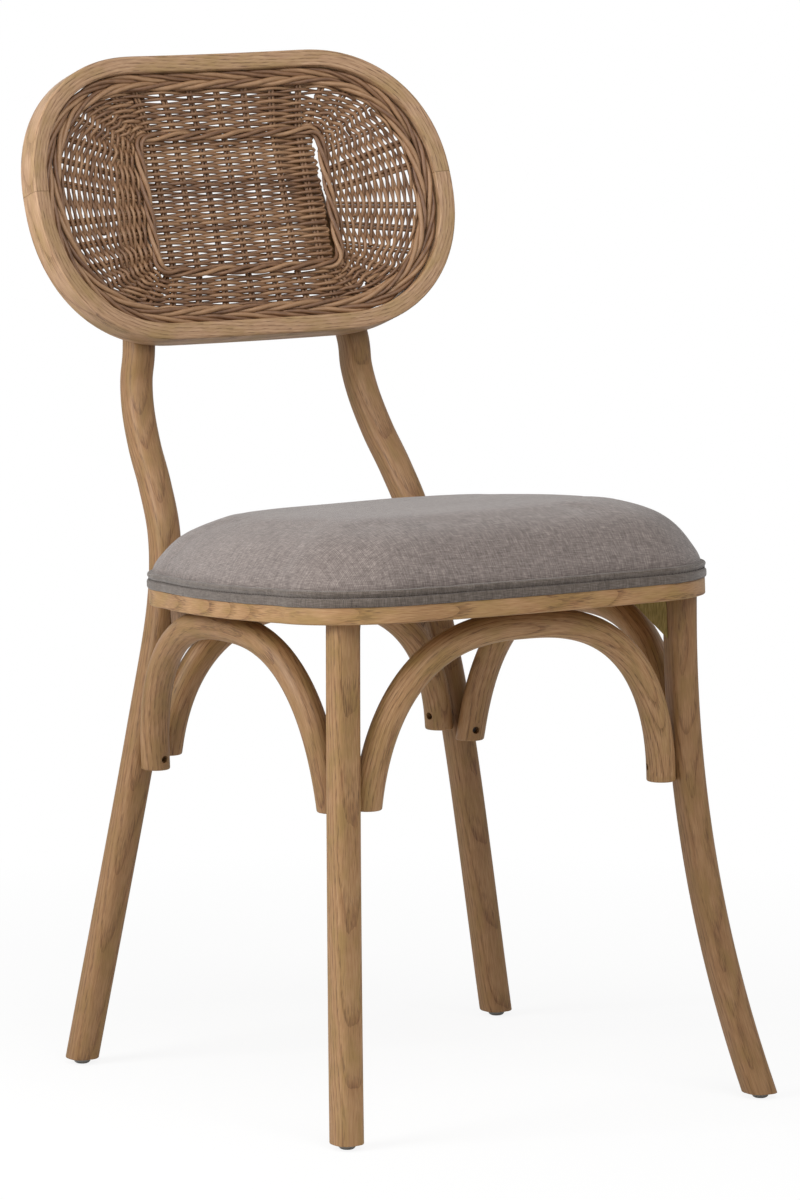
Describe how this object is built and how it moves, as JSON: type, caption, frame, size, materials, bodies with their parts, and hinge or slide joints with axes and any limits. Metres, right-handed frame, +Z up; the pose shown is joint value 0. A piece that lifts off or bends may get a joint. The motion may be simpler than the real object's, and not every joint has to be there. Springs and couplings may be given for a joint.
{
  "type": "dining chair",
  "caption": "Bentwood dining chair with a curved oval back panel of woven wicker, a padded seat on a bent wood ring, swept round legs and an arch brace under each side of the seat.",
  "frame": {"origin": "on the floor, under the middle of the chair's bounding box", "axes": "+Z up, the sitter faces -Y, +X to the right when the chair is seen from the front"},
  "size_m": [0.4514, 0.62, 0.861],
  "materials": {
    "wood": "satin weathered oak stain, open grain",
    "corner_blocks": "raw sawn wood",
    "seat_board": "raw plywood",
    "wicker": "woven natural wicker, matt",
    "upholstery": "plain woven linen",
    "foam": "upholstery foam",
    "screws": "dull steel",
    "glides": "moulded plastic"
  },
  "bodies": {
    "root": {"arch_front": "wood", "arch_left": "wood", "arch_rear": "wood", "arch_right": "wood", "arch_screw_front_left": "screws", "arch_screw_front_right": "screws", "arch_screw_rear_left": "screws", "arch_screw_rear_right": "screws", "arch_screw_side_front_left": "screws", "arch_screw_side_front_right": "screws", "arch_screw_side_rear_left": "screws", "arch_screw_side_rear_right": "screws", "back_frame_dowel_left": "wood", "back_frame_dowel_right": "wood", "back_frame_lower": "wood", "back_frame_upper": "wood", "board_screw_front_left": "screws", "board_screw_front_right": "screws", "board_screw_rear_left": "screws", "board_screw_rear_right": "screws", "corner_block_front_left": "corner_blocks", "corner_block_front_right": "corner_blocks", "corner_block_rear_left": "corner_blocks", "corner_block_rear_right": "corner_blocks", "front_leg_left": "wood", "front_leg_right": "wood", "glide_front_left": "glides", "glide_front_right": "glides", "glide_rear_left": "glides", "glide_rear_right": "glides", "panel_screw_high_left": "screws", "panel_screw_high_right": "screws", "panel_screw_low_left": "screws", "panel_screw_low_right": "screws", "rear_bolt_left": "screws", "rear_bolt_right": "screws", "rear_leg_left": "wood", "rear_leg_right": "wood", "seat_board": "seat_board", "seat_cover": "upholstery", "seat_foam": "foam", "seat_frame": "wood", "seat_screw_front": "screws", "seat_screw_rear": "screws", "seat_screw_side_left": "screws", "seat_screw_side_right": "screws", "seat_welt": "upholstery", "wicker_base": "wicker", "wicker_border": "wicker", "wicker_waling": "wicker", "wicker_wall": "wicker"}
  },
  "joints": []
}
